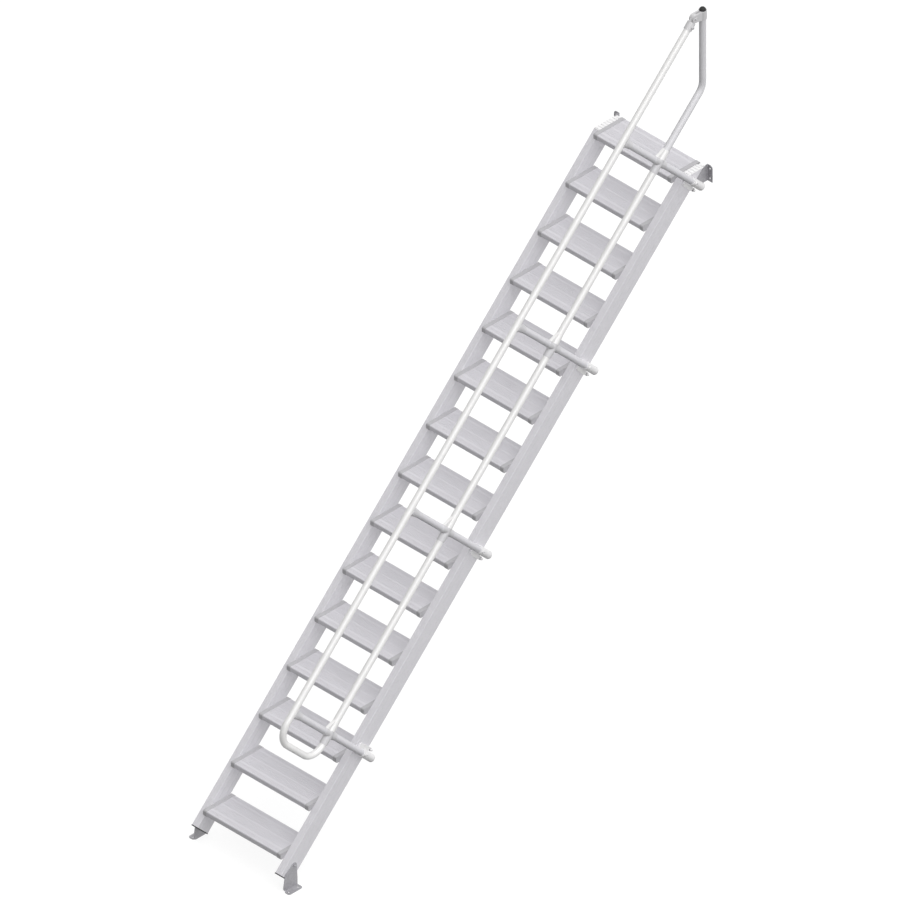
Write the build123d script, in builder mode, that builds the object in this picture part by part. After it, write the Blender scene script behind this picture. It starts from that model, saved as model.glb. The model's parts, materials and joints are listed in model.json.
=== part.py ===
"""Steep aluminium wall stair with open treads and one tube handrail.

Sizes are in millimetres. The stair is drawn with X = 0 halfway between the stringers and +X on the
climber's right, Y = 0 at the nosing of the lowest tread and +Y up the stair, and Z = 0 on the lower
floor. Export moves it so that the origin lies on the back face of the right-hand wall flange.
"""

import os
from math import atan2, cos, sin, tan

from build123d import *

# Flight
tread_count = 15
rise = 216.0
run = 216.0
clear_width = 600.0

# Stringers, hollow extrusions with shallow grooves along them
stringer_width = 45.0
stringer_depth = 110.0
stringer_wall = 2.0
stringer_corner = 2.0
groove_width = 4.0
groove_depth = 1.0
front_groove_spacing = 18.0
side_groove_spacing = 40.0
nosing_stand = 40.0
stringer_foot_gap = 40.0
stringer_top_drop = 6.0
bottom_cap_thickness = 6.0
bottom_cap_overhang = 3.0
top_cap_thickness = 3.0
top_cap_rib_height = 3.0
top_cap_rib_width = 11.0
top_cap_rib_pitch = 22.0
top_cap_rib_count = 7
top_cap_margin = 2.0
top_cap_lip = 15.0
top_cap_lip_width = 28.0

# Treads, hollow extrusions with ribbed tops
tread_depth = 225.0
tread_height = 35.0
tread_skin = 2.5
tread_web = 3.0
nosing_radius = 8.0
back_radius = 10.0
rib_pitch = 7.0
rib_gap = 3.0
rib_height = 1.0
smooth_line_spacing = 74.0
smooth_line_width = 9.0

# End shoes, castings that cap both ends of a tread
shoe_base = 6.0
shoe_length = 26.0
shoe_rim = 2.0

# Foot brackets and wall brackets, folded plate
bracket_plate = 4.0
foot_front = 26.0
foot_length = 108.0
foot_flange = 47.0
foot_flange_corner = 14.0
foot_side_height = 45.0
foot_tip_radius = 18.0
foot_heel_radius = 26.0
foot_toe_radius = 22.0
foot_bolt_up = 85.0
foot_bolt_spacing = 65.0
foot_hole_diameter = 11.0
foot_hole_spacing = 71.0
wall_gap = 17.0
wall_flange = 36.0
wall_flange_corner = 18.0
wall_bracket_height = 108.0
wall_bracket_drop = 1.0
wall_seat_length = 60.0
wall_seat_end = 10.0
wall_hole_diameter = 11.0
wall_hole_spacing = 64.0

# Handrail, round tube
tube_diameter = 40.0
tube_wall = 2.5
top_rail_height = 670.0
knee_rail_height = 275.0
bow_front = 535.0
bow_radius = 104.0
first_post = 706.0
first_bay = 1284.0
last_post_from_top = 94.0
post_count = 4
post_foot_below = 34.0
end_tube_from_wall = 68.0
end_tube_above_pivot = 22.0
end_bend_radius = 100.0
tube_clearance = 2.0

# Rail fittings, castings
fitting_wall = 4.0
post_socket_wall = 2.5
knee_sleeve_below = 66.0
knee_sleeve_above = 79.0
knee_sleeve_lip = 1.5
knee_socket_length = 34.0
knee_web_thickness = 20.0
tee_length = 62.0
tee_overlap = 10.0
tee_flare = 13.0

# Post holders on the outer sides of the right stringer
pad_thickness = 5.0
pad_saddle = 2.0
pad_height = 87.0
pad_edge_gap = 3.0
pad_reach = 46.0
pad_back_reach = 22.0
pad_corner = 8.0
holder_sleeve_length = 104.0
ear_reach = 38.0
ear_drop = 14.0
ear_radius = 11.0
ear_lip_thickness = 4.0
ear_lip_depth = 22.0
ear_hole_diameter = 9.0
holder_screw_up = 83.0
screw_boss_radius = 9.0
screw_boss_height = 7.0
screw_hole_diameter = 6.0
plug_length = 7.0
plug_round = 5.0
plug_inner_length = 20.0

# Swivel joint at the top of the handrail
swivel_sleeve_length = 46.0
swivel_reach = 65.0
swivel_eye_radius = 25.0
swivel_tongue = 12.0
swivel_cheek = 10.0
swivel_collar_height = 56.0
swivel_screw_from_end = 22.0
bolt_diameter = 8.0
bolt_head_diameter = 15.0
bolt_head_height = 6.0

# Directions and places worked out from the sizes
pitch = atan2(rise, run)
along_slope = Vector(0, cos(pitch), sin(pitch))
off_slope = Vector(0, -sin(pitch), cos(pitch))
across = Vector(1, 0, 0)


def slope_point(along, off, x=0.0):
    """The point `along` the nosing line from the lowest nosing and `off` it, square to the pitch."""
    return Vector(x, 0, rise) + along_slope * along + off_slope * off


def slope_section(along, off, x=0.0):
    """A plane square to the pitch, its x across the stair and its y down and back."""
    return Plane(origin=slope_point(along, off, x), x_dir=across, z_dir=along_slope)


def slope_side(x):
    """A plane square to X, its x along the nosing line and its y off it."""
    return Plane(origin=slope_point(0, 0, x), x_dir=along_slope, z_dir=across)


def mirrored(part):
    """The same piece on the other side of the stair."""
    return mirror(part, about=Plane.YZ)


stringer_inner = clear_width / 2
stringer_outer = stringer_inner + stringer_width
stringer_middle = stringer_inner + stringer_width / 2
stringer_front = -nosing_stand
stringer_back = stringer_front - stringer_depth
stringer_axis = stringer_front - stringer_depth / 2
# The back corner of the square-cut foot is the lowest point of a stringer
stringer_foot = (stringer_foot_gap - rise - stringer_back * cos(pitch)) / sin(pitch)
stringer_top_z = rise * tread_count - stringer_top_drop - top_cap_thickness
stringer_length = (stringer_top_z - rise) / sin(pitch) + stringer_depth / tan(pitch) * 2 - stringer_foot
# Along the slope, where the back edge of a stringer meets its level top end
stringer_back_top = (stringer_top_z - rise - stringer_back * cos(pitch)) / sin(pitch)
top_tread_nosing = run * (tread_count - 1)
wall_y = top_tread_nosing + tread_depth + wall_gap
tread_length = clear_width - 2 * shoe_base
tube_radius = tube_diameter / 2
rail_x = stringer_outer + pad_thickness + tube_radius
step_places = [(0, run * step, rise * (step + 1)) for step in range(tread_count)]

pieces = {}

# Stringers
with BuildPart() as stringer_right:
    with BuildSketch(slope_section(stringer_foot, stringer_axis, stringer_middle)):
        RectangleRounded(stringer_width, stringer_depth, stringer_corner)
        with GridLocations(front_groove_spacing, stringer_depth, 2, 2):
            Rectangle(groove_width, 2 * groove_depth, mode=Mode.SUBTRACT)
        with GridLocations(stringer_width, side_groove_spacing, 2, 2):
            Rectangle(2 * groove_depth, groove_width, mode=Mode.SUBTRACT)
        Rectangle(
            stringer_width - 2 * (stringer_wall + groove_depth),
            stringer_depth - 2 * (stringer_wall + groove_depth),
            mode=Mode.SUBTRACT,
        )
    extrude(amount=stringer_length)
    split(bisect_by=Plane.XY.offset(stringer_top_z), keep=Keep.BOTTOM)
pieces["stringer_right"] = stringer_right.part
pieces["stringer_left"] = mirrored(stringer_right.part)

# Black end caps at the feet of the stringers
with BuildPart() as stringer_bottom_cap_right:
    with BuildSketch(slope_section(stringer_foot, stringer_axis, stringer_middle)):
        RectangleRounded(stringer_width, stringer_depth + 2 * bottom_cap_overhang, stringer_corner)
    extrude(amount=-bottom_cap_thickness)
pieces["stringer_bottom_cap_right"] = stringer_bottom_cap_right.part
pieces["stringer_bottom_cap_left"] = mirrored(stringer_bottom_cap_right.part)

# Pale ribbed caps on the level top ends
level_depth = stringer_depth / sin(pitch)
top_front_y = (stringer_top_z - rise - stringer_front / cos(pitch)) / tan(pitch)
top_cap_plane = Plane(origin=(stringer_middle, top_front_y + level_depth / 2, stringer_top_z))
with BuildPart() as stringer_top_cap_right:
    with BuildSketch(top_cap_plane):
        RectangleRounded(stringer_width, level_depth, stringer_corner)
    extrude(amount=top_cap_thickness)
    with BuildSketch(top_cap_plane.offset(top_cap_thickness)):
        with GridLocations(0, top_cap_rib_pitch, 1, top_cap_rib_count):
            Rectangle(stringer_width - 2 * top_cap_margin, top_cap_rib_width)
    extrude(amount=top_cap_rib_height)
    with BuildSketch(top_cap_plane):
        with Locations((0, (level_depth + top_cap_lip) / 2)):
            Rectangle(top_cap_lip_width, top_cap_lip)
    extrude(amount=top_cap_thickness + top_cap_rib_height)
pieces["stringer_top_cap_right"] = stringer_top_cap_right.part
pieces["stringer_top_cap_left"] = mirrored(stringer_top_cap_right.part)

# Treads
smooth_lines = [tread_depth / 2 + smooth_line_spacing * place for place in (-1, 0, 1)]
rib_gap_count = int((tread_depth - 2 * nosing_radius) / rib_pitch)
rib_gap_start = (tread_depth - (rib_gap_count - 1) * rib_pitch) / 2
rib_gaps = [rib_gap_start + rib_pitch * number for number in range(rib_gap_count)]
rib_gaps = [
    gap for gap in rib_gaps
    if min(abs(gap - line) for line in smooth_lines) > (smooth_line_width + rib_gap) / 2
]
tread_middle = (tread_depth / 2, -tread_height / 2)
with BuildPart() as tread:
    with BuildSketch(Plane.YZ.offset(-tread_length / 2)) as tread_section:
        with Locations(tread_middle):
            Rectangle(tread_depth, tread_height)
        fillet(tread_section.vertices().sort_by(Axis.X)[:2], nosing_radius)
        fillet(tread_section.vertices().sort_by(Axis.X)[-2:], back_radius)
        offset(amount=-tread_skin, mode=Mode.SUBTRACT)
        with Locations(*[(line, -tread_height / 2) for line in smooth_lines]):
            Rectangle(tread_web, tread_height)
        with Locations(*[(gap, 0) for gap in rib_gaps]):
            Rectangle(rib_gap, 2 * rib_height, mode=Mode.SUBTRACT)
    extrude(amount=tread_length)
for number, place in enumerate(step_places, start=1):
    pieces[f"tread_{number:02d}"] = tread.part.moved(Location(place))

# End shoes
shoe_inner = stringer_inner - shoe_length
with BuildPart() as tread_shoe:
    with BuildSketch(Plane.YZ.offset(shoe_inner)) as shoe_outline:
        with Locations(tread_middle):
            Rectangle(tread_depth + 2 * shoe_rim, tread_height + 2 * shoe_rim)
        fillet(shoe_outline.vertices().sort_by(Axis.X)[:2], nosing_radius + shoe_rim)
        fillet(shoe_outline.vertices().sort_by(Axis.X)[-2:], back_radius + shoe_rim)
    extrude(amount=shoe_length)
    with BuildSketch(Plane.YZ.offset(shoe_inner)) as shoe_pocket:
        with Locations(tread_middle):
            Rectangle(tread_depth, tread_height)
        fillet(shoe_pocket.vertices().sort_by(Axis.X)[:2], nosing_radius)
        fillet(shoe_pocket.vertices().sort_by(Axis.X)[-2:], back_radius)
    extrude(amount=shoe_length - shoe_base, mode=Mode.SUBTRACT)
with BuildPart() as tread_shoes_right:
    with Locations(*step_places):
        add(tread_shoe.part)
pieces["tread_shoes_right"] = tread_shoes_right.part
pieces["tread_shoes_left"] = mirrored(tread_shoes_right.part)

# Foot brackets
foot_bolts = [
    slope_point(stringer_foot + foot_bolt_up, stringer_axis),
    slope_point(stringer_foot + foot_bolt_up - foot_bolt_spacing, stringer_axis),
]
bracket_outer = stringer_outer + bracket_plate
foot_middle_y = foot_length / 2 - foot_front
with BuildPart() as foot_bracket_right:
    with BuildSketch(Plane.YZ.offset(stringer_outer)) as foot_side:
        with Locations((foot_bolts[0].Y, foot_bolts[0].Z)):
            Circle(foot_tip_radius)
        with Locations((foot_bolts[1].Y, foot_bolts[1].Z)):
            Circle(foot_heel_radius)
        with Locations((foot_toe_radius - foot_front, foot_toe_radius)):
            Circle(foot_toe_radius)
        with Locations((foot_middle_y + foot_toe_radius / 2, foot_side_height / 2)):
            Rectangle(foot_length - foot_toe_radius, foot_side_height)
        make_hull()
    extrude(amount=bracket_plate)
    with BuildSketch(Plane.XY) as foot_sole:
        with Locations((stringer_outer + foot_flange / 2, foot_middle_y)):
            Rectangle(foot_flange, foot_length)
        fillet(foot_sole.vertices().sort_by(Axis.X)[-2:], foot_flange_corner)
        fillet(foot_sole.vertices().group_by(Axis.X)[0].sort_by(Axis.Y)[:1], foot_toe_radius)
    extrude(amount=bracket_plate)
    with Locations(Plane.XY.offset(bracket_plate)):
        with Locations((bracket_outer + (foot_flange - bracket_plate) / 2, foot_middle_y)):
            with GridLocations(0, foot_hole_spacing, 1, 2):
                Hole(foot_hole_diameter / 2)
    with Locations(*[Plane((bracket_outer, bolt.Y, bolt.Z), z_dir=across) for bolt in foot_bolts]):
        Hole(bolt_diameter / 2)
pieces["foot_bracket_right"] = foot_bracket_right.part
pieces["foot_bracket_left"] = mirrored(foot_bracket_right.part)

# Wall brackets: a seat on the stringer's back, a web and a flange on the wall
wall_top_z = rise * tread_count - wall_bracket_drop
wall_bottom_z = wall_top_z - wall_bracket_height
wall_middle_z = (wall_top_z + wall_bottom_z) / 2
seat_end = stringer_back_top - wall_seat_end
seat_start = seat_end - wall_seat_length
seat_high = slope_point(seat_end, stringer_back)
seat_low = slope_point(seat_start, stringer_back)
web_toe = slope_point(seat_start, stringer_back - wall_seat_length)
with BuildPart() as wall_bracket_right:
    with BuildSketch(Plane.YZ.offset(stringer_outer - bracket_plate)):
        with BuildLine():
            Polyline(
                (seat_low.Y, seat_low.Z),
                (seat_high.Y, seat_high.Z),
                (wall_y - wall_flange_corner, wall_top_z),
                (wall_y, wall_top_z),
                (wall_y, wall_bottom_z),
                (web_toe.Y, wall_bottom_z),
                close=True,
            )
        make_face()
    extrude(amount=bracket_plate)
    with BuildSketch(slope_section(seat_start, stringer_back, stringer_middle)):
        with Locations((0, bracket_plate / 2)):
            Rectangle(stringer_width, bracket_plate)
    extrude(amount=wall_seat_length)
    with BuildSketch(Plane.XZ.offset(-wall_y)) as wall_face:
        with Locations((stringer_outer - bracket_plate + (wall_flange + bracket_plate) / 2, wall_middle_z)):
            Rectangle(wall_flange + bracket_plate, wall_bracket_height)
        fillet(wall_face.vertices().sort_by(Axis.X)[-2:].sort_by(Axis.Y)[-1:], wall_flange_corner)
    extrude(amount=bracket_plate)
    with Locations(Plane.XZ.offset(bracket_plate - wall_y)):
        with Locations((stringer_outer + wall_flange / 2, wall_middle_z)):
            with GridLocations(0, wall_hole_spacing, 1, 2):
                Hole(wall_hole_diameter / 2)
pieces["wall_bracket_right"] = wall_bracket_right.part
pieces["wall_bracket_left"] = mirrored(wall_bracket_right.part)

# Handrail places, measured along the nosing line
last_post = stringer_back_top - last_post_from_top
later_bay = (last_post - first_post - first_bay) / (post_count - 2)
post_places = [first_post] + [first_post + first_bay + later_bay * n for n in range(post_count - 1)]
end_tube_y = wall_y - end_tube_from_wall
end_corner_along = (end_tube_y + knee_rail_height * sin(pitch)) / cos(pitch)
pivot_along = (end_tube_y - swivel_reach + top_rail_height * sin(pitch)) / cos(pitch)
pivot = slope_point(pivot_along, top_rail_height, rail_x)
top_rail_end = pivot_along - swivel_eye_radius - tube_clearance - fitting_wall
end_tube_top = pivot.Z + end_tube_above_pivot


def side_point(along, off):
    """The same as slope_point, as Y and Z for a sketch plane square to X."""
    point = slope_point(along, off)
    return (point.Y, point.Z)


def tube_along(path, start_direction):
    """A round tube swept along a path that starts in the given direction."""
    with BuildPart() as tube:
        with BuildSketch(Plane(origin=path @ 0, x_dir=across, z_dir=start_direction)):
            Circle(tube_radius)
            Circle(tube_radius - tube_wall, mode=Mode.SUBTRACT)
        sweep(path=path)
    return tube.part


# Rails
with BuildLine(Plane.YZ.offset(rail_x)) as top_rail_path:
    Line(side_point(first_post, top_rail_height), side_point(top_rail_end, top_rail_height))
pieces["top_rail"] = tube_along(top_rail_path.line, along_slope)

with BuildLine(Plane.YZ.offset(rail_x)) as bow_path:
    FilletPolyline(
        side_point(first_post, top_rail_height),
        side_point(bow_front, top_rail_height),
        side_point(bow_front, knee_rail_height),
        side_point(first_post, knee_rail_height),
        radius=bow_radius,
    )
pieces["end_bow"] = tube_along(bow_path.line, -along_slope)

with BuildLine(Plane.YZ.offset(rail_x)) as knee_rail_path:
    Line(side_point(first_post, knee_rail_height), side_point(last_post, knee_rail_height))
pieces["knee_rail"] = tube_along(knee_rail_path.line, along_slope)

# The knee rail goes on as an upright from the fitting on the last post
with BuildLine(Plane.YZ.offset(rail_x)) as end_tube_path:
    FilletPolyline(
        side_point(last_post, knee_rail_height),
        side_point(end_corner_along, knee_rail_height),
        (end_tube_y, end_tube_top),
        radius=end_bend_radius,
    )
pieces["end_tube"] = tube_along(end_tube_path.line, along_slope)

# Posts, square to the pitch, in two lengths with the knee rail between them
post_foot = stringer_back - post_foot_below
knee_gap = tube_radius + tube_clearance
post_lengths = [
    (post_foot, knee_rail_height - knee_gap),
    (knee_rail_height + knee_gap, top_rail_height - knee_gap),
]


def post_plane(along, off):
    """A plane square to a post, its z away from the stringer's top face."""
    return Plane(origin=slope_point(along, off, rail_x), x_dir=across, z_dir=off_slope)


for number, along in enumerate(post_places, start=1):
    with BuildPart() as post:
        for low, high in post_lengths:
            with BuildSketch(post_plane(along, low)):
                Circle(tube_radius)
                Circle(tube_radius - tube_wall, mode=Mode.SUBTRACT)
            extrude(amount=high - low)
    pieces[f"post_{number}"] = post.part

# Post holders: a sleeve round the foot of each post, a pad on the stringer and an ear behind it
socket_radius = tube_radius + fitting_wall
pad_middle = stringer_back + pad_edge_gap + pad_height / 2
ear_off = stringer_back - ear_drop
screw_off = post_foot + holder_screw_up
with BuildPart() as post_clamps:
    for number, along in enumerate(post_places):
        # The ear is above the lowest post and below the others
        side = 1 if number == 0 else -1
        ear_along = along + side * ear_reach
        with BuildSketch(slope_side(stringer_outer)):
            with Locations((along + side * (pad_reach - pad_back_reach) / 2, pad_middle)):
                RectangleRounded(pad_reach + pad_back_reach, pad_height, pad_corner)
            with Locations((ear_along, ear_off)):
                Circle(ear_radius)
            with Locations((ear_along, (ear_off + pad_middle) / 2)):
                Rectangle(2 * ear_radius, pad_middle - ear_off)
        extrude(amount=pad_thickness + pad_saddle)
        with BuildSketch(slope_side(stringer_outer)):
            with Locations((ear_along, stringer_back - ear_lip_thickness / 2)):
                Rectangle(2 * ear_radius, ear_lip_thickness)
        extrude(amount=-ear_lip_depth)
        with BuildSketch(post_plane(along, post_foot)):
            Circle(socket_radius)
        extrude(amount=holder_sleeve_length)
        with BuildSketch(slope_side(rail_x)):
            with Locations((along, screw_off)):
                Circle(screw_boss_radius)
        extrude(amount=socket_radius + screw_boss_height)
        with BuildSketch(post_plane(along, post_foot)):
            Circle(tube_radius)
        extrude(amount=holder_sleeve_length + pad_height, mode=Mode.SUBTRACT)
        with BuildSketch(slope_side(rail_x)):
            with Locations((along, screw_off)):
                Circle(screw_hole_diameter / 2)
        extrude(amount=2 * socket_radius, mode=Mode.SUBTRACT)
        with BuildSketch(slope_side(stringer_outer)):
            with Locations((ear_along, ear_off)):
                Circle(ear_hole_diameter / 2)
        extrude(amount=pad_thickness + pad_saddle, mode=Mode.SUBTRACT)
pieces["post_clamps"] = post_clamps.part

# Domed plugs that close the lower ends of the posts
with BuildPart() as post_plugs:
    for along in post_places:
        plug_plane = Plane(origin=slope_point(along, post_foot, rail_x), x_dir=across, z_dir=-off_slope)
        with BuildSketch(plug_plane):
            Circle(socket_radius)
        extrude(amount=plug_length)
        fillet(post_plugs.edges(Select.LAST).group_by(Axis(plug_plane.origin, -off_slope))[-1], plug_round)
        with BuildSketch(plug_plane):
            Circle(tube_radius - tube_wall)
        extrude(amount=-plug_inner_length)
pieces["post_plugs"] = post_plugs.part

# Tees: sockets that widen into saddles under the top rail
post_socket_radius = tube_radius + post_socket_wall
tee_top = top_rail_height - tube_radius + tee_overlap
with BuildPart() as rail_tees:
    for along in post_places:
        for reach, flare in ((tee_length, 0), (tee_length / 2, tee_flare / 4), (0, tee_flare)):
            with BuildSketch(post_plane(along, tee_top - reach)):
                Ellipse(post_socket_radius, post_socket_radius + flare)
        loft()
        with BuildSketch(post_plane(along, tee_top - tee_length)):
            Circle(tube_radius)
        extrude(amount=tee_length - tee_overlap - tube_clearance, mode=Mode.SUBTRACT)
        with BuildSketch(slope_section(along - 2 * socket_radius, top_rail_height, rail_x)):
            Circle(tube_radius)
        extrude(amount=4 * socket_radius, mode=Mode.SUBTRACT)
pieces["rail_tees"] = rail_tees.part

# Crosses on the knee rail, with a web in the outer upper corner
socket_reach = tube_radius + knee_socket_length
knee_sleeve_end = tube_radius + knee_sleeve_lip
with BuildPart() as knee_rail_fittings:
    for along in post_places:
        with BuildSketch(slope_section(along - knee_sleeve_below, knee_rail_height, rail_x)):
            Circle(socket_radius)
        extrude(amount=knee_sleeve_below)
        for reach, radius in ((0, socket_radius), (knee_sleeve_above, knee_sleeve_end)):
            with BuildSketch(slope_section(along + reach, knee_rail_height, rail_x)):
                Circle(radius)
        loft()
        with BuildSketch(post_plane(along, knee_rail_height - socket_reach)):
            Circle(post_socket_radius)
        extrude(amount=2 * socket_reach)
        with BuildSketch(slope_side(rail_x)):
            with BuildLine():
                Polyline(
                    (along, knee_rail_height),
                    (along + knee_sleeve_above, knee_rail_height),
                    (along + knee_sleeve_above, knee_rail_height + knee_sleeve_end),
                    (along, knee_rail_height + socket_reach),
                    close=True,
                )
            make_face()
        extrude(amount=knee_web_thickness / 2, both=True)
        for low, high in ((-socket_reach, -knee_gap), (knee_gap, socket_reach)):
            with BuildSketch(post_plane(along, knee_rail_height + low)):
                Circle(tube_radius)
            extrude(amount=high - low, mode=Mode.SUBTRACT)
        with BuildSketch(slope_section(along - knee_sleeve_below, knee_rail_height, rail_x)):
            Circle(tube_radius)
        extrude(amount=knee_sleeve_below + knee_sleeve_above, mode=Mode.SUBTRACT)
pieces["knee_rail_fittings"] = knee_rail_fittings.part

# Swivel joint between the top rail and the upright
sleeve_start = top_rail_end - swivel_sleeve_length
swivel_screw_along = top_rail_end - swivel_screw_from_end
with BuildPart() as swivel_sleeve:
    with BuildSketch(slope_section(sleeve_start, top_rail_height, rail_x)):
        Circle(socket_radius)
    extrude(amount=swivel_sleeve_length)
    with BuildSketch(slope_side(rail_x)):
        with Locations((swivel_screw_along, top_rail_height)):
            Circle(screw_boss_radius)
    extrude(amount=socket_radius + screw_boss_height)
    with BuildSketch(slope_section(sleeve_start, top_rail_height, rail_x)):
        Circle(tube_radius)
    extrude(amount=swivel_sleeve_length, mode=Mode.SUBTRACT)
    with BuildSketch(slope_side(rail_x)):
        with Locations((swivel_screw_along, top_rail_height)):
            Circle(screw_hole_diameter / 2)
    extrude(amount=2 * socket_radius, mode=Mode.SUBTRACT)
    with BuildSketch(slope_section(top_rail_end, top_rail_height, rail_x)):
        Circle(socket_radius)
    extrude(amount=fitting_wall)
    with BuildSketch(slope_side(rail_x)):
        with Locations((pivot_along, top_rail_height)):
            Circle(swivel_eye_radius)
        with Locations(((top_rail_end + pivot_along) / 2, top_rail_height)):
            Rectangle(pivot_along - top_rail_end, 2 * socket_radius)
    extrude(amount=swivel_tongue / 2, both=True)
    with Locations(Plane((rail_x + swivel_tongue / 2, pivot.Y, pivot.Z), z_dir=across)):
        Hole(bolt_diameter / 2)
pieces["swivel_sleeve"] = swivel_sleeve.part

collar_middle_z = end_tube_top - swivel_collar_height / 2
with BuildPart() as swivel_clamp:
    with BuildSketch(Plane(origin=(rail_x, end_tube_y, end_tube_top - swivel_collar_height))):
        Circle(socket_radius)
    extrude(amount=swivel_collar_height)
    for cheek_x in (rail_x + swivel_tongue / 2, rail_x - swivel_tongue / 2 - swivel_cheek):
        with BuildSketch(Plane.YZ.offset(cheek_x)):
            with Locations((pivot.Y, pivot.Z)):
                Circle(swivel_eye_radius)
            with Locations((end_tube_y, collar_middle_z)):
                Rectangle(fitting_wall, swivel_collar_height)
            make_hull()
        extrude(amount=swivel_cheek)
    with BuildSketch(Plane(origin=(rail_x, end_tube_y, end_tube_top - 2 * swivel_collar_height))):
        Circle(tube_radius)
    extrude(amount=4 * swivel_collar_height, mode=Mode.SUBTRACT)
    with Locations(Plane((rail_x + swivel_tongue / 2 + swivel_cheek, pivot.Y, pivot.Z), z_dir=across)):
        Hole(bolt_diameter / 2)
pieces["swivel_clamp"] = swivel_clamp.part

swivel_half = swivel_tongue / 2 + swivel_cheek
with BuildPart() as swivel_bolt:
    with BuildSketch(Plane(origin=(rail_x - swivel_half, pivot.Y, pivot.Z), z_dir=across)):
        Circle(bolt_diameter / 2)
    extrude(amount=2 * swivel_half)
    with BuildSketch(Plane(origin=(rail_x + swivel_half, pivot.Y, pivot.Z), z_dir=across)):
        RegularPolygon(bolt_head_diameter / 2, 6)
    extrude(amount=bolt_head_height)
    with BuildSketch(Plane(origin=(rail_x - swivel_half, pivot.Y, pivot.Z), z_dir=-across)):
        RegularPolygon(bolt_head_diameter / 2, 6)
    extrude(amount=bolt_head_height)
pieces["swivel_bolt"] = swivel_bolt.part

# Black domed cap on the upright
with BuildPart() as rail_end_cap:
    with Locations((rail_x, end_tube_y, end_tube_top)):
        Sphere(tube_radius, arc_size1=0, align=(Align.CENTER, Align.CENTER, Align.MIN))
    with BuildSketch(Plane(origin=(rail_x, end_tube_y, end_tube_top))):
        Circle(tube_radius - tube_wall)
    extrude(amount=-plug_inner_length)
pieces["rail_end_cap"] = rail_end_cap.part

# The origin of the finished part: the back face of the right-hand wall flange
flange_middle = Location((-(stringer_outer + wall_flange / 2), -wall_y, -wall_middle_z))

os.makedirs("parts", exist_ok=True)
for name, piece in pieces.items():
    placed = piece.moved(flange_middle)
    placed.label = name
    export_step(placed, f"parts/{name}.step")
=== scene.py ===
"""Looks of the steep aluminium wall stair: materials, small fasteners, light and camera.

Places are worked out in the stair's own sizes, in metres: X = 0 halfway between the stringers,
Y = 0 at the lowest nosing, Z = 0 on the floor. stair_point() turns them into the frame's places.
"""

import json
import math

import bmesh
import bpy
from mathutils import Matrix, Vector


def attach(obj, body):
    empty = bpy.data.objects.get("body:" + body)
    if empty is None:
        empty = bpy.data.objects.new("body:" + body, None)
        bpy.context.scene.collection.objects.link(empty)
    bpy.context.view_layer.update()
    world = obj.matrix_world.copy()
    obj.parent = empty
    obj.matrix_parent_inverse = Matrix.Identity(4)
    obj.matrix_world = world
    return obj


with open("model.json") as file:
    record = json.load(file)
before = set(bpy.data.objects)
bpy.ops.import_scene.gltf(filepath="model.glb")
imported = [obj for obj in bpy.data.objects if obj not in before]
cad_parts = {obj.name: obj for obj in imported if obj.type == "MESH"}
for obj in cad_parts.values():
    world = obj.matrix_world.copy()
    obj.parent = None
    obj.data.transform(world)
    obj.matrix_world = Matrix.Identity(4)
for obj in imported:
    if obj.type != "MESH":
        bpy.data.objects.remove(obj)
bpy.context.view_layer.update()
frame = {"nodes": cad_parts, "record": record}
nodes = frame["nodes"]

# The picture's view
VIEW_AZIMUTH = math.radians(45)
VIEW_ELEVATION = math.atan(math.sqrt(0.5))
PICTURE_PIXELS = 900
PIXELS_PER_METRE = 182.58
PICTURE_CENTRE = (0.0, 1.6116, 1.9741)
CAMERA_DISTANCE = 12.0
CAMERA_REACH = 60.0

# The frame's origin, given in the stair's own sizes
ORIGIN = Vector((0.363, 3.266, 3.185))

# Sizes of the stair that the small fasteners are placed by
RISE = 0.216
PITCH = math.radians(45)
STRINGER_OUTER = 0.345
STRINGER_MIDDLE = 0.3225
STRINGER_AXIS = -0.095
STRINGER_BACK = -0.150
BRACKET_PLATE = 0.004
FOOT_BOLT_UPPER = -0.0139
FOOT_BOLT_LOWER = -0.0789
SEAT_BOLTS = (4.359, 4.389)
FIRST_POST = 0.706
SECOND_POST = 1.990
LAST_POST = 4.3199
POSTS = (FIRST_POST, SECOND_POST, (SECOND_POST + LAST_POST) / 2, LAST_POST)
EAR_REACH = 0.038
EAR_DROP = 0.014
PAD_FACE = 0.352
SCREW_BOSS_FACE = 0.401
HOLDER_SCREW_OFF = -0.101
TOP_RAIL_HEIGHT = 0.670
SWIVEL_SCREW = 5.0477

# The painted highlight on the knee rail's crosses: a band uphill from each post, painted as pale as the
# rail
ARM_HIGHLIGHT_MIDDLE = 0.053
ARM_HIGHLIGHT_LENGTH = 0.064


def stair_point(x, y, z):
    """A place given in the stair's own sizes, in the frame."""
    return Vector((x, y, z)) - ORIGIN


def slope_point(along, off, x):
    """The place `along` the nosing line from the lowest nosing and `off` it, square to the pitch."""
    y = along * math.cos(PITCH) - off * math.sin(PITCH)
    z = RISE + along * math.sin(PITCH) + off * math.cos(PITCH)
    return stair_point(x, y, z)


# Camera
def make_camera():
    data = bpy.data.cameras.new("camera")
    data.type = "ORTHO"
    data.ortho_scale = PICTURE_PIXELS / PIXELS_PER_METRE
    data.clip_end = CAMERA_REACH
    camera = bpy.data.objects.new("camera", data)
    bpy.context.scene.collection.objects.link(camera)
    towards = Vector((
        math.sin(VIEW_AZIMUTH) * math.cos(VIEW_ELEVATION),
        -math.cos(VIEW_AZIMUTH) * math.cos(VIEW_ELEVATION),
        math.sin(VIEW_ELEVATION),
    ))
    camera.location = stair_point(*PICTURE_CENTRE) + towards * CAMERA_DISTANCE
    camera.rotation_euler = towards.to_track_quat("Z", "Y").to_euler()
    bpy.context.scene.camera = camera


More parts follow.
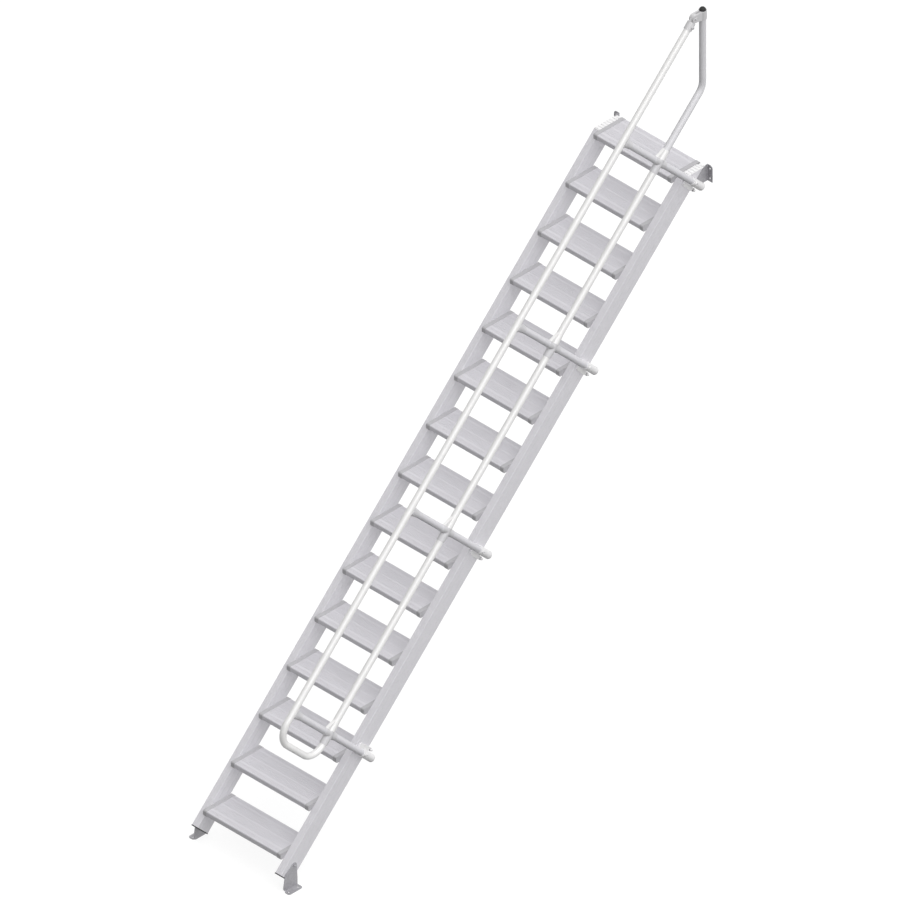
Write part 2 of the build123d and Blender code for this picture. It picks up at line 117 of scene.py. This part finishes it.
# Light and background
SUN_DIRECTION = Vector((0.545, -0.075, 0.835))
SUN_STRENGTH = 1.2
SUN_SOFTNESS = math.radians(80)
FILL_STRENGTH = 1.6
FILL_SOFTNESS = math.radians(40)
SKY = 0.57
SKY_FADE = 0.47
FLOOR_SIZE = 60.0
FLOOR_SEEN = (0.26, 0.26, 0.26)
FLOOR_BOUNCE = (0.16, 0.16, 0.16)
FLOOR_GLOW = 0.76


def any_of(tree, masks):
    """1 where one of the masks is 1, otherwise 0."""
    joined = masks[0]
    for mask in masks[1:]:
        either = tree.nodes.new("ShaderNodeMath")
        either.operation = "MAXIMUM"
        tree.links.new(joined, either.inputs[0])
        tree.links.new(mask, either.inputs[1])
        joined = either.outputs[0]
    return joined


def background_seen(tree):
    """1 for the rays that show the background itself or its mirror image, otherwise 0."""
    rays = tree.nodes.new("ShaderNodeLightPath")
    kinds = ("Is Camera Ray", "Is Glossy Ray", "Is Transmission Ray")
    return any_of(tree, [rays.outputs[kind] for kind in kinds])


def make_sun(name, strength, softness, shadow):
    sun = bpy.data.lights.new(name, "SUN")
    sun.energy = strength
    sun.angle = softness
    sun.use_shadow = shadow
    lamp = bpy.data.objects.new(name, sun)
    lamp.rotation_euler = SUN_DIRECTION.to_track_quat("Z", "Y").to_euler()
    bpy.context.scene.collection.objects.link(lamp)


def make_lamps():
    """Two suns from one side. The stronger casts no shadow, so the treads' shadows stay faint."""
    make_sun("sun", SUN_STRENGTH, SUN_SOFTNESS, True)
    make_sun("fill", FILL_STRENGTH, FILL_SOFTNESS, False)


def make_sky():
    """A sky that fades towards the front of the stair and is white where it is seen."""
    world = bpy.data.worlds.new("studio")
    world.use_nodes = True
    bpy.context.scene.world = world
    tree = world.node_tree
    place = tree.nodes.new("ShaderNodeTexCoord")
    axes = tree.nodes.new("ShaderNodeSeparateXYZ")
    tree.links.new(place.outputs["Generated"], axes.inputs[0])
    front = tree.nodes.new("ShaderNodeMath")
    front.operation = "MINIMUM"
    front.inputs[1].default_value = 0.0
    tree.links.new(axes.outputs["Y"], front.inputs[0])
    sky = tree.nodes.new("ShaderNodeMath")
    sky.operation = "MULTIPLY_ADD"
    sky.inputs[1].default_value = SKY_FADE
    sky.inputs[2].default_value = SKY
    tree.links.new(front.outputs[0], sky.inputs[0])
    strength = tree.nodes.new("ShaderNodeMix")
    strength.inputs["B"].default_value = 1.0
    tree.links.new(background_seen(tree), strength.inputs["Factor"])
    tree.links.new(sky.outputs[0], strength.inputs["A"])
    background = tree.nodes["Background"]
    background.inputs["Color"].default_value = (1, 1, 1, 1)
    tree.links.new(strength.outputs["Result"], background.inputs["Strength"])


def floor_material():
    """Pale where it is seen, with the stair's shadow, and darker in the light that it throws back."""
    material = bpy.data.materials.new("floor")
    material.use_nodes = True
    tree = material.node_tree
    shader = tree.nodes["Principled BSDF"]
    shader.inputs["Roughness"].default_value = 1.0
    shader.inputs["Specular IOR Level"].default_value = 0.0
    shader.inputs["Emission Color"].default_value = (1, 1, 1, 1)
    seen = background_seen(tree)
    colour = tree.nodes.new("ShaderNodeMix")
    colour.data_type = "RGBA"
    colour.inputs["A"].default_value = (*FLOOR_BOUNCE, 1)
    colour.inputs["B"].default_value = (*FLOOR_SEEN, 1)
    tree.links.new(seen, colour.inputs["Factor"])
    tree.links.new(colour.outputs["Result"], shader.inputs["Base Color"])
    glow = tree.nodes.new("ShaderNodeMath")
    glow.operation = "MULTIPLY"
    glow.inputs[1].default_value = FLOOR_GLOW
    tree.links.new(seen, glow.inputs[0])
    tree.links.new(glow.outputs[0], shader.inputs["Emission Strength"])
    return material


def make_floor():
    mesh = bpy.data.meshes.new("floor")
    half = FLOOR_SIZE / 2
    outline = ((-half, -half), (half, -half), (half, half), (-half, half))
    corners = [stair_point(x, y, 0) for x, y in outline]
    mesh.from_pydata(corners, [], [(0, 1, 2, 3)])
    mesh.materials.append(floor_material())
    floor = bpy.data.objects.new("floor", mesh)
    bpy.context.scene.collection.objects.link(floor)


# Materials
def new_material(name, colour, metallic, roughness):
    material = bpy.data.materials.new(name)
    material.use_nodes = True
    shader = material.node_tree.nodes["Principled BSDF"]
    shader.inputs["Base Color"].default_value = (*colour, 1)
    shader.inputs["Metallic"].default_value = metallic
    shader.inputs["Roughness"].default_value = roughness
    return material


def placed_texture(material, kind, repeats, turn=(0, 0, 0)):
    """A texture in the object's space, which is turned first, with its repeats a metre on X, Y and Z."""
    tree = material.node_tree
    place = tree.nodes.new("ShaderNodeTexCoord")
    turned = tree.nodes.new("ShaderNodeMapping")
    turned.inputs["Rotation"].default_value = turn
    stretched = tree.nodes.new("ShaderNodeMapping")
    stretched.inputs["Scale"].default_value = repeats
    texture = tree.nodes.new(kind)
    texture.inputs["Scale"].default_value = 1.0
    tree.links.new(place.outputs["Object"], turned.inputs["Vector"])
    tree.links.new(turned.outputs["Vector"], stretched.inputs["Vector"])
    tree.links.new(stretched.outputs["Vector"], texture.inputs["Vector"])
    return texture


def vary_colour(material, factor, dark, light):
    """Colour from dark to light by a texture's output."""
    tree = material.node_tree
    ramp = tree.nodes.new("ShaderNodeMix")
    ramp.data_type = "RGBA"
    ramp.inputs["A"].default_value = (*dark, 1)
    ramp.inputs["B"].default_value = (*light, 1)
    tree.links.new(factor, ramp.inputs["Factor"])
    tree.links.new(ramp.outputs["Result"], tree.nodes["Principled BSDF"].inputs["Base Color"])


def vary_roughness(material, factor, low, high):
    """Roughness from low to high by a texture's output."""
    tree = material.node_tree
    spread = tree.nodes.new("ShaderNodeMapRange")
    spread.inputs["To Min"].default_value = low
    spread.inputs["To Max"].default_value = high
    tree.links.new(factor, spread.inputs["Value"])
    tree.links.new(spread.outputs["Result"], tree.nodes["Principled BSDF"].inputs["Roughness"])


def add_bump(material, height, distance, strength):
    tree = material.node_tree
    bump = tree.nodes.new("ShaderNodeBump")
    bump.inputs["Distance"].default_value = distance
    bump.inputs["Strength"].default_value = strength
    tree.links.new(height, bump.inputs["Height"])
    tree.links.new(bump.outputs["Normal"], tree.nodes["Principled BSDF"].inputs["Normal"])


def shades(colour, spread):
    """A darker and a lighter shade of a colour."""
    return [tuple(channel * (1 + side * spread) for channel in colour) for side in (-1, 1)]


def drawn_aluminium(name, colour, metallic, roughness, turn):
    """Extruded metal with faint lines drawn along its length, which turn brings onto X."""
    material = new_material(name, colour, metallic, roughness)
    lines = placed_texture(material, "ShaderNodeTexNoise", (1.2, 420, 420), turn)
    lines.inputs["Detail"].default_value = 3.0
    clouds = placed_texture(material, "ShaderNodeTexNoise", (6, 24, 24), turn)
    vary_colour(material, clouds.outputs["Fac"], *shades(colour, 0.05))
    vary_roughness(material, lines.outputs["Fac"], roughness - 0.08, roughness + 0.08)
    add_bump(material, lines.outputs["Fac"], 0.0002, 0.5)
    return material


def cast_aluminium(name, colour):
    """Dull cast metal with a fine grain."""
    material = new_material(name, colour, 0.1, 0.55)
    grains = placed_texture(material, "ShaderNodeTexNoise", (700, 700, 700))
    grains.inputs["Detail"].default_value = 2.0
    clouds = placed_texture(material, "ShaderNodeTexNoise", (30, 30, 30))
    vary_colour(material, clouds.outputs["Fac"], *shades(colour, 0.07))
    add_bump(material, grains.outputs["Fac"], 0.0004, 0.6)
    return material


def knee_casting(name, colour, arm_highlight_colour):
    """The crosses on the knee rail, cast metal with a painted highlight: a band uphill of each post is
    painted as pale as the rail.
    """
    material = cast_aluminium(name, colour)
    tree = material.node_tree
    shader = tree.nodes["Principled BSDF"]
    plain = shader.inputs["Base Color"].links[0].from_socket
    uphill = Vector((0, math.cos(PITCH), math.sin(PITCH)))
    place = tree.nodes.new("ShaderNodeTexCoord")
    along = tree.nodes.new("ShaderNodeVectorMath")
    along.operation = "DOT_PRODUCT"
    along.inputs[1].default_value = uphill
    tree.links.new(place.outputs["Object"], along.inputs[0])
    start = slope_point(0, 0, 0).dot(uphill)
    highlight_bands = []
    for post in POSTS:
        highlight_band = tree.nodes.new("ShaderNodeMath")
        highlight_band.operation = "COMPARE"
        highlight_band.inputs[1].default_value = start + post + ARM_HIGHLIGHT_MIDDLE
        highlight_band.inputs[2].default_value = ARM_HIGHLIGHT_LENGTH / 2
        tree.links.new(along.outputs["Value"], highlight_band.inputs[0])
        highlight_bands.append(highlight_band.outputs[0])
    # Painted highlight: the band uphill of each post gets the pale colour instead of the casting's own
    highlight_mix = tree.nodes.new("ShaderNodeMix")
    highlight_mix.data_type = "RGBA"
    highlight_mix.inputs["B"].default_value = (*arm_highlight_colour, 1)
    tree.links.new(any_of(tree, highlight_bands), highlight_mix.inputs["Factor"])
    tree.links.new(plain, highlight_mix.inputs["A"])
    tree.links.new(highlight_mix.outputs["Result"], shader.inputs["Base Color"])
    return material


def galvanised_steel(name, colour):
    """Dull zinc with its crystal pattern."""
    material = new_material(name, colour, 0.35, 0.5)
    crystals = placed_texture(material, "ShaderNodeTexVoronoi", (120, 120, 120))
    vary_colour(material, crystals.outputs["Color"], *shades(colour, 0.12))
    vary_roughness(material, crystals.outputs["Distance"], 0.4, 0.6)
    return material


def moulded_plastic(name, colour, roughness):
    """Matt plastic with the fine grain of its mould."""
    material = new_material(name, colour, 0.0, roughness)
    grains = placed_texture(material, "ShaderNodeTexNoise", (900, 900, 900))
    clouds = placed_texture(material, "ShaderNodeTexNoise", (40, 40, 40))
    vary_colour(material, clouds.outputs["Fac"], *shades(colour, 0.04))
    add_bump(material, grains.outputs["Fac"], 0.0002, 0.4)
    return material


ACROSS_STAIR = (0, 0, 0)
ALONG_SLOPE = (-math.pi / 4, 0, 0)
OFF_SLOPE = (math.pi / 4, 0, 0)

# Looks, each with the function that makes it and what that takes after the name
LOOKS = {
    "stringer_aluminium": (drawn_aluminium, (0.66, 0.65, 0.68), 0.08, 0.5, ALONG_SLOPE),
    "tread_aluminium": (drawn_aluminium, (0.60, 0.59, 0.62), 0.08, 0.5, ACROSS_STAIR),
    # The rails are paler than the posts partly by painted highlight, though rails and posts are the same
    # tube
    "tube_aluminium": (drawn_aluminium, (0.77, 0.765, 0.76), 0.2, 0.35, ALONG_SLOPE),
    "post_aluminium": (drawn_aluminium, (0.635, 0.63, 0.655), 0.05, 0.55, OFF_SLOPE),
    "end_tube_aluminium": (drawn_aluminium, (0.66, 0.655, 0.675), 0.05, 0.55, OFF_SLOPE),
    "cast_aluminium": (cast_aluminium, (0.43, 0.425, 0.44)),
    "bright_casting": (cast_aluminium, (0.745, 0.74, 0.745)),
    "fitting_casting": (cast_aluminium, (0.60, 0.595, 0.61)),
    "swivel_casting": (cast_aluminium, (0.575, 0.57, 0.58)),
    # The knee crosses' second, paler colour is a painted highlight on the band uphill of each post
    "knee_casting": (knee_casting, (0.58, 0.575, 0.59), (0.78, 0.775, 0.77)),
    "galvanised_steel": (galvanised_steel, (0.36, 0.355, 0.375)),
    "black_plastic": (moulded_plastic, (0.007, 0.007, 0.007), 0.7),
    "grey_plastic": (moulded_plastic, (0.79, 0.785, 0.79), 0.5),
}
materials = {name: make(name, *values) for name, (make, *values) in LOOKS.items()}

# Nodes that are paler than the others of their slot
paler_looks = {
    "rail_tees": "fitting_casting",
    "knee_rail_fittings": "knee_casting",
    "swivel_sleeve": "swivel_casting",
    "swivel_clamp": "swivel_casting",
    "swivel_bolt": "swivel_casting",
    "end_tube": "end_tube_aluminium",
}
for part in frame["record"]["subparts"]:
    look = paler_looks.get(part["node"], part["material_slot"])
    mesh = nodes[part["node"]].data
    mesh.materials.clear()
    mesh.materials.append(materials[look])


# Sizes of the small fasteners
WASHER_THICKNESS = 0.0016
WASHER_WIDTH = 0.016
EAR_WASHER_WIDTH = 0.018
HEAD_WIDTH = 0.013
HEAD_HEIGHT = 0.0053
EAR_HEAD_HEIGHT = 0.0105
EAR_NUT_HEIGHT = 0.0065
FLUSH_SCREW_WIDTH = 0.0078
FLUSH_SCREW_HEIGHT = 0.003
GRIP_SCREW_WIDTH = 0.0058
GRIP_SCREW_HEIGHT = 0.009
GRIP_SCREW_DEPTH = 0.010
SOCKET_SHARE = 0.55
TOP_SHARE = 0.3
WASHER_SIDES = 32
SCREW_SIDES = 18
CREASE = math.radians(30)

ACROSS = Vector((1, 0, 0))
OFF_DIRECTION = Vector((0, -math.sin(PITCH), math.cos(PITCH)))


# Small fasteners, each form an outline of (radius, height) from its base to its tip and a number of sides
def hex_head(width, height):
    """A hexagon head with a turned top."""
    radius = width / 2 / math.cos(math.pi / 6)
    outline = [(radius, 0), (radius, height * 0.85), (radius * 0.88, height), (radius * TOP_SHARE, height)]
    return outline, 6


def washer(diameter, thickness):
    """A washer with a chamfered upper edge, closed under the bolt's head."""
    radius = diameter / 2
    edge = thickness / 4
    outline = [
        (radius, 0),
        (radius, thickness - edge),
        (radius - edge, thickness),
        (radius * TOP_SHARE, thickness),
    ]
    return outline, WASHER_SIDES


def socket_screw(diameter, height):
    """A screw end with a round-bottomed socket for a key."""
    radius = diameter / 2
    socket = radius * SOCKET_SHARE
    outline = [
        (radius, 0),
        (radius, height),
        (socket, height),
        (socket, height * 0.4),
        (socket * 0.4, height * 0.3),
    ]
    return outline, SCREW_SIDES


def add_turned(bm, base, axis, outline, sides):
    """A solid turned about an axis, its outline given from its base to its tip."""
    turn = axis.to_track_quat("Z", "Y").to_matrix().to_4x4()
    stand = Matrix.Translation(base) @ turn
    angles = [2 * math.pi * step / sides for step in range(sides)]
    rings = []
    for radius, height in outline:
        ring = [Vector((radius * math.cos(angle), radius * math.sin(angle), height)) for angle in angles]
        rings.append([bm.verts.new(stand @ point) for point in ring])
    for lower, upper in zip(rings, rings[1:]):
        for step in range(sides):
            after = (step + 1) % sides
            bm.faces.new((lower[step], lower[after], upper[after], upper[step]))
    bm.faces.new(list(reversed(rings[0])))
    bm.faces.new(rings[-1])


def make_fasteners(name, slot, fasteners):
    """One piece of many like fasteners, each given by base, axis and (outline, sides)."""
    bm = bmesh.new()
    for base, axis, (outline, sides) in fasteners:
        add_turned(bm, base, axis, outline, sides)
    for face in bm.faces:
        face.smooth = True
    for edge in bm.edges:
        edge.smooth = edge.calc_face_angle(0) < CREASE
    mesh = bpy.data.meshes.new(name)
    bm.to_mesh(mesh)
    bm.free()
    mesh.materials.append(materials[slot])
    piece = bpy.data.objects.new(name, mesh)
    bpy.context.scene.collection.objects.link(piece)
    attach(piece, "root")


def foot_bracket_fasteners():
    """On each foot bracket a hexagon head with its washer, and below it a screw flush with the plate."""
    heads = []
    washers = []
    for side in (-1, 1):
        outwards = ACROSS * side
        plate_face = side * (STRINGER_OUTER + BRACKET_PLATE)
        upper = slope_point(FOOT_BOLT_UPPER, STRINGER_AXIS, plate_face)
        lower = slope_point(FOOT_BOLT_LOWER, STRINGER_AXIS, plate_face)
        washers.append((upper, outwards, washer(WASHER_WIDTH, WASHER_THICKNESS)))
        heads.append((upper + outwards * WASHER_THICKNESS, outwards, hex_head(HEAD_WIDTH, HEAD_HEIGHT)))
        flush = socket_screw(FLUSH_SCREW_WIDTH, FLUSH_SCREW_HEIGHT)
        heads.append((lower - outwards * FLUSH_SCREW_HEIGHT, outwards, flush))
    make_fasteners("foot_bracket_washers", "galvanised_steel", washers)
    make_fasteners("foot_bracket_bolts", "galvanised_steel", heads)


def wall_bracket_fasteners():
    """Two bolts under the seat of each wall bracket."""
    heads = []
    washers = []
    down = -OFF_DIRECTION
    for side in (-1, 1):
        for along in SEAT_BOLTS:
            seat = slope_point(along, STRINGER_BACK - BRACKET_PLATE, side * STRINGER_MIDDLE)
            washers.append((seat, down, washer(WASHER_WIDTH, WASHER_THICKNESS)))
            heads.append((seat + down * WASHER_THICKNESS, down, hex_head(HEAD_WIDTH, HEAD_HEIGHT)))
    make_fasteners("wall_bracket_washers", "galvanised_steel", washers)
    make_fasteners("wall_bracket_bolts", "bright_casting", heads)


def post_holder_fasteners():
    """A bolt and its nut through the ear of each post holder."""
    heads = []
    washers = []
    for number, along in enumerate(POSTS):
        # The ear is above the lowest post and below the others
        up_or_down = 1 if number == 0 else -1
        ear_along = along + up_or_down * EAR_REACH
        ear_off = STRINGER_BACK - EAR_DROP
        ear = slope_point(ear_along, ear_off, PAD_FACE)
        # Painted shade: the washers are real parts, and their dark steel also stands in for the shade
        # beside each ear
        washers.append((ear, ACROSS, washer(EAR_WASHER_WIDTH, WASHER_THICKNESS)))
        heads.append((ear + ACROSS * WASHER_THICKNESS, ACROSS, hex_head(HEAD_WIDTH, EAR_HEAD_HEIGHT)))
        behind = slope_point(ear_along, ear_off, STRINGER_OUTER)
        heads.append((behind, -ACROSS, hex_head(HEAD_WIDTH, EAR_NUT_HEIGHT)))
    make_fasteners("post_holder_washers_painted_shade", "galvanised_steel", washers)
    make_fasteners("post_holder_bolts", "bright_casting", heads)


def grip_screws():
    """The screws that grip the tubes, one in each post holder and one in the swivel's sleeve."""
    bosses = [slope_point(along, HOLDER_SCREW_OFF, SCREW_BOSS_FACE) for along in POSTS]
    bosses.append(slope_point(SWIVEL_SCREW, TOP_RAIL_HEIGHT, SCREW_BOSS_FACE))
    screw = socket_screw(GRIP_SCREW_WIDTH, GRIP_SCREW_HEIGHT)
    screws = [(boss - ACROSS * GRIP_SCREW_DEPTH, ACROSS, screw) for boss in bosses]
    make_fasteners("grip_screws", "galvanised_steel", screws)


foot_bracket_fasteners()
wall_bracket_fasteners()
post_holder_fasteners()
grip_screws()
make_camera()
make_lamps()
make_sky()
make_floor()

bpy.context.scene.view_settings.view_transform = "Standard"
